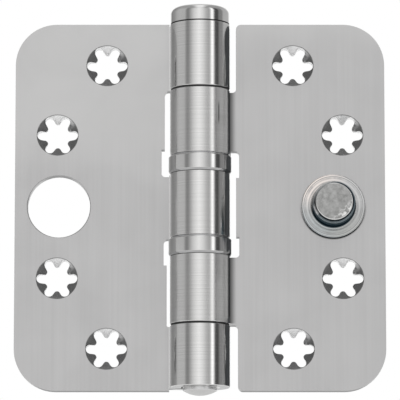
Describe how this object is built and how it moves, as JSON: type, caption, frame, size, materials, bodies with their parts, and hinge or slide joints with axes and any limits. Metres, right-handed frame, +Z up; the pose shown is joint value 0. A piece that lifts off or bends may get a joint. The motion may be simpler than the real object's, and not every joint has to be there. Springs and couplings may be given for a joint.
{
  "type": "butt hinge",
  "caption": "Flat steel butt hinge lying open: knuckled leaves with star-shaped screw holes, a security stud and its hole, washers and shrouded thrust bearings on the pin.",
  "frame": {"origin": "on the pin axis, at half the height of the leaves", "axes": "+Z up the pin towards its head, +X from the pin to the leaf with the stud, +Y from the countersunk front faces to the mounting faces"},
  "size_m": [0.089, 0.015, 0.094],
  "materials": {
    "leaf_steel": "vertically brushed stainless",
    "pin_steel": "polished stainless",
    "stud_steel": "turned, zinc plated",
    "shroud_steel": "turned stainless",
    "race_steel": "hardened and ground",
    "ball_steel": "polished",
    "cage_polymer": "moulded",
    "washer_polymer": "black, matt"
  },
  "bodies": {
    "fixed_leaf": {"hole_leaf": "leaf_steel", "hinge_pin": "pin_steel", "upper_washer": "washer_polymer", "lower_washer": "washer_polymer", "upper_bearing_bottom_race": "race_steel", "upper_bearing_shroud": "shroud_steel", "lower_bearing_top_race": "race_steel"},
    "swinging_leaf": {"stud_leaf": "leaf_steel", "security_stud": "stud_steel", "upper_bearing_top_race": "race_steel", "lower_bearing_bottom_race": "race_steel", "lower_bearing_shroud": "shroud_steel"},
    "upper_ball_train": {"upper_bearing_balls": "ball_steel", "upper_bearing_cage": "cage_polymer"},
    "lower_ball_train": {"lower_bearing_balls": "ball_steel", "lower_bearing_cage": "cage_polymer"}
  },
  "joints": [
    {"name": "leaf_swing", "type": "hinge", "parent": "fixed_leaf", "child": "swinging_leaf", "pos_m": [0, 0, 0], "axis": [0, 0, -1], "range_deg": [-110, 180]},
    {"name": "upper_ball_orbit", "type": "hinge", "parent": "fixed_leaf", "child": "upper_ball_train", "pos_m": [0, 0, 0.00975], "axis": [0, 0, -1], "range_deg": [-55, 90]},
    {"name": "lower_ball_orbit", "type": "hinge", "parent": "fixed_leaf", "child": "lower_ball_train", "pos_m": [0, 0, -0.0102], "axis": [0, 0, -1], "range_deg": [-55, 90]}
  ],
  "couplings": [
    {"joint": "upper_ball_orbit", "follows": "leaf_swing", "ratio": 0.5},
    {"joint": "lower_ball_orbit", "follows": "leaf_swing", "ratio": 0.5}
  ]
}
